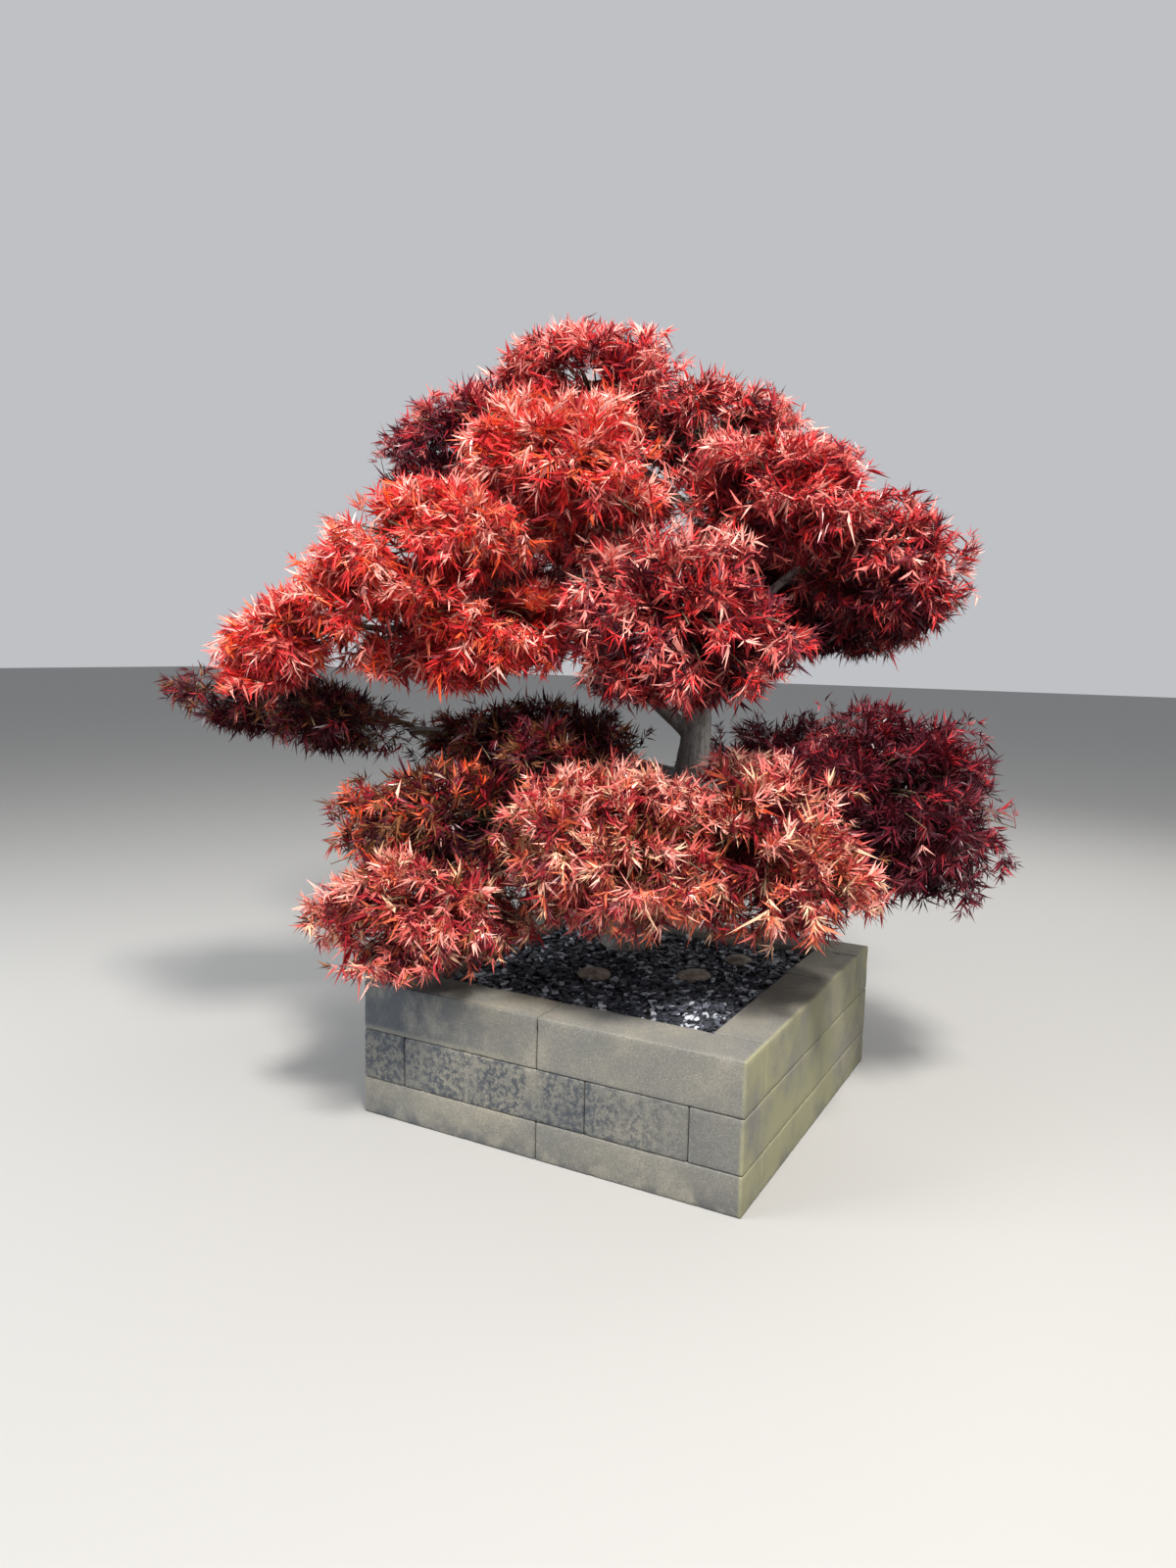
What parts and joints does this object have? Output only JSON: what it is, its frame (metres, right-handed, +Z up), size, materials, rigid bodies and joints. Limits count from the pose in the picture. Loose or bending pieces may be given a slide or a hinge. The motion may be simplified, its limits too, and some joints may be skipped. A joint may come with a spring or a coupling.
{
  "type": "potted japanese maple",
  "caption": "Spreading cut-leaved red japanese maple in tiers of drooping foliage, growing in a square filled planter of stacked concrete blocks.",
  "frame": {"origin": "centre of the planter's flat underside", "axes": "+Z up, +X to the right along the planter's front wall, +Y towards its back wall"},
  "size_m": [2.5195, 2.0997, 2.4265],
  "materials": {
    "concrete": "matte weathered",
    "soil": "matte slate chips",
    "bark": "matte bark",
    "foliage": "matte leaves"
  },
  "bodies": {
    "root": {"block_front_1_1": "concrete", "block_front_1_2": "concrete", "block_right_1_1": "concrete", "block_right_1_2": "concrete", "block_back_1_1": "concrete", "block_back_1_2": "concrete", "block_left_1_1": "concrete", "block_left_1_2": "concrete", "block_front_2_1": "concrete", "block_front_2_2": "concrete", "block_right_2_1": "concrete", "block_right_2_2": "concrete", "block_back_2_1": "concrete", "block_back_2_2": "concrete", "block_left_2_1": "concrete", "block_left_2_2": "concrete", "block_front_3_1": "concrete", "block_front_3_2": "concrete", "block_right_3_1": "concrete", "block_right_3_2": "concrete", "block_back_3_1": "concrete", "block_back_3_2": "concrete", "block_left_3_1": "concrete", "block_left_3_2": "concrete", "soil_fill": "soil", "trunk": "bark", "bough_top": "bark", "bough_front": "bark", "bough_left": "bark", "bough_left_far": "bark", "bough_right": "bark", "bough_back_left": "bark", "bough_back_right": "bark", "bough_low_left": "bark", "bough_low_front": "bark", "bough_low_front_left": "bark", "bough_low_right": "bark", "bough_low_back": "bark", "foliage_top_middle": "foliage", "foliage_top_left": "foliage", "foliage_top_right": "foliage", "foliage_upper_front": "foliage", "foliage_middle_front": "foliage", "foliage_left_high": "foliage", "foliage_left_inner": "foliage", "foliage_left_tip": "foliage", "foliage_right_high": "foliage", "foliage_right_tip": "foliage", "foliage_back_high": "foliage", "foliage_back_left": "foliage", "foliage_back_right": "foliage", "foliage_left_shade": "foliage", "foliage_middle_shade": "foliage", "foliage_front_low": "foliage", "foliage_front_low_right": "foliage", "foliage_front_low_left": "foliage", "foliage_left_low": "foliage", "foliage_right_low": "foliage", "foliage_back_low_right": "foliage", "foliage_back_low_left": "foliage"}
  },
  "joints": []
}
